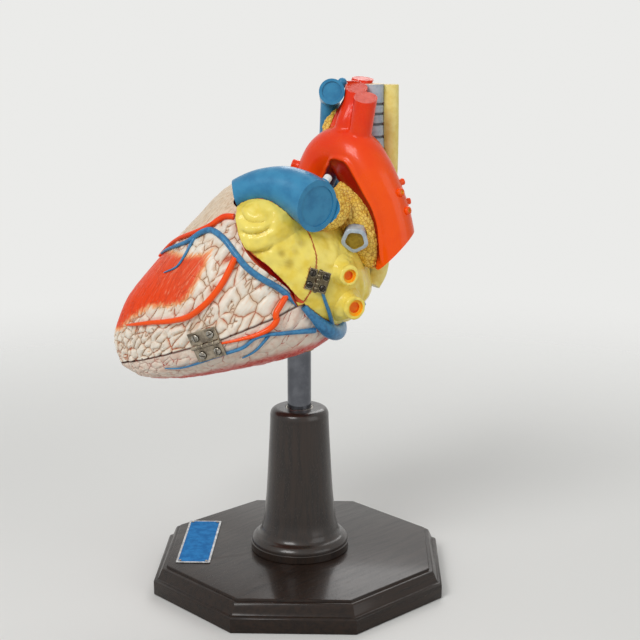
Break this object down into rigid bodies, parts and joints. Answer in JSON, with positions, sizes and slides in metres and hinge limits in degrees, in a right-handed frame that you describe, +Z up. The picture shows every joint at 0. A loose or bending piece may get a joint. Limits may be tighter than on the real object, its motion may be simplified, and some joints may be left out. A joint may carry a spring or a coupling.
{
  "type": "human heart anatomy model",
  "caption": "Enlarged painted human heart on a turned wood stand; the front of the ventricles and the left atrium swing open on hinges to show the chambers and valves.",
  "frame": {"origin": "underside of the base, on the axis of the upright rod", "axes": "+Z up; the viewer who faces the front looks along +Y, with the apex of the heart toward -X"},
  "size_m": [0.3513, 0.3104, 0.5382],
  "materials": {
    "wood": "dark open-grain wood with a satin lacquer",
    "steel": "plain steel with light wear",
    "chrome": "polished chrome plate",
    "brass": "dull brass",
    "hinge_metal": "dark tarnished bronze with bright worn edges",
    "nameplate": "blue enamel with a bare silver edge",
    "muscle": "cream paint with red crevices, satin varnish",
    "ring": "deep red paint",
    "valve": "ivory paint",
    "atrium": "yellow paint, satin varnish",
    "right_atrium": "muted blue paint, satin varnish",
    "artery": "orange-red paint, satin varnish",
    "vein": "steel blue paint, satin varnish",
    "airway": "grey paint, satin varnish",
    "gullet": "pale yellow paint",
    "lymph": "ochre paint over a grainy surface",
    "ligament": "white paint"
  },
  "bodies": {
    "stand": {"base_plate": "wood", "pedestal": "wood", "pedestal_bushing": "steel", "foot_screw_1": "steel", "foot_screw_2": "steel", "foot_screw_3": "steel", "nameplate": "nameplate", "nameplate_pin_1": "steel", "nameplate_pin_2": "steel", "nameplate_pin_3": "steel", "nameplate_pin_4": "steel"},
    "heart_core": {"support_rod": "chrome", "rod_socket": "brass", "ventricle_rear_shell": "muscle", "coronary_sinus": "vein", "valve_plate": "ring", "mitral_valve": "valve", "tricuspid_valve": "valve", "aortic_valve": "valve", "left_atrium_shell": "atrium", "right_atrium_shell": "right_atrium", "aortic_arch": "artery", "superior_vena_cava": "vein", "inferior_vena_cava": "vein", "right_pulmonary_artery": "vein", "right_pulmonary_vein_1": "atrium", "right_pulmonary_vein_2": "atrium", "trachea": "airway", "left_bronchus": "airway", "right_bronchus": "airway", "oesophagus": "gullet", "lymph_nodes_arch": "lymph", "lymph_nodes_trachea": "lymph", "lid_hinge_fixed_leaf": "hinge_metal", "lid_hinge_pin": "hinge_metal", "lid_hinge_fixed_screw_1": "steel", "lid_hinge_fixed_screw_2": "steel", "door_hinge_fixed_leaf": "hinge_metal", "door_hinge_pin": "hinge_metal", "door_hinge_fixed_screw_1": "steel", "door_hinge_fixed_screw_2": "steel"},
    "ventricle_lid": {"ventricle_front_shell": "muscle", "lid_hinge_moving_leaf": "hinge_metal", "lid_hinge_moving_screw_1": "steel", "lid_hinge_moving_screw_2": "steel"},
    "atrial_door": {"left_atrium_door": "atrium", "pulmonary_trunk": "vein", "pulmonary_valve": "valve", "ligament_stub": "ligament", "lymph_nodes_front": "lymph", "door_hinge_moving_leaf": "hinge_metal", "door_hinge_moving_screw_1": "steel", "door_hinge_moving_screw_2": "steel"}
  },
  "joints": [
    {"name": "heart_swivel", "type": "hinge", "parent": "stand", "child": "heart_core", "pos_m": [0, 0, 0.1907], "axis": [0, 0, 1], "continuous": true},
    {"name": "lid_hinge", "type": "hinge", "parent": "heart_core", "child": "ventricle_lid", "pos_m": [-0.09313, -0.083, 0.28023], "axis": [0.8305, -0.4382, 0.344], "range_deg": [0, 105]},
    {"name": "door_hinge", "type": "hinge", "parent": "heart_core", "child": "atrial_door", "pos_m": [0.01871, -0.085, 0.34549], "axis": [0.2921, 0, 0.9564], "range_deg": [0, 100]}
  ]
}
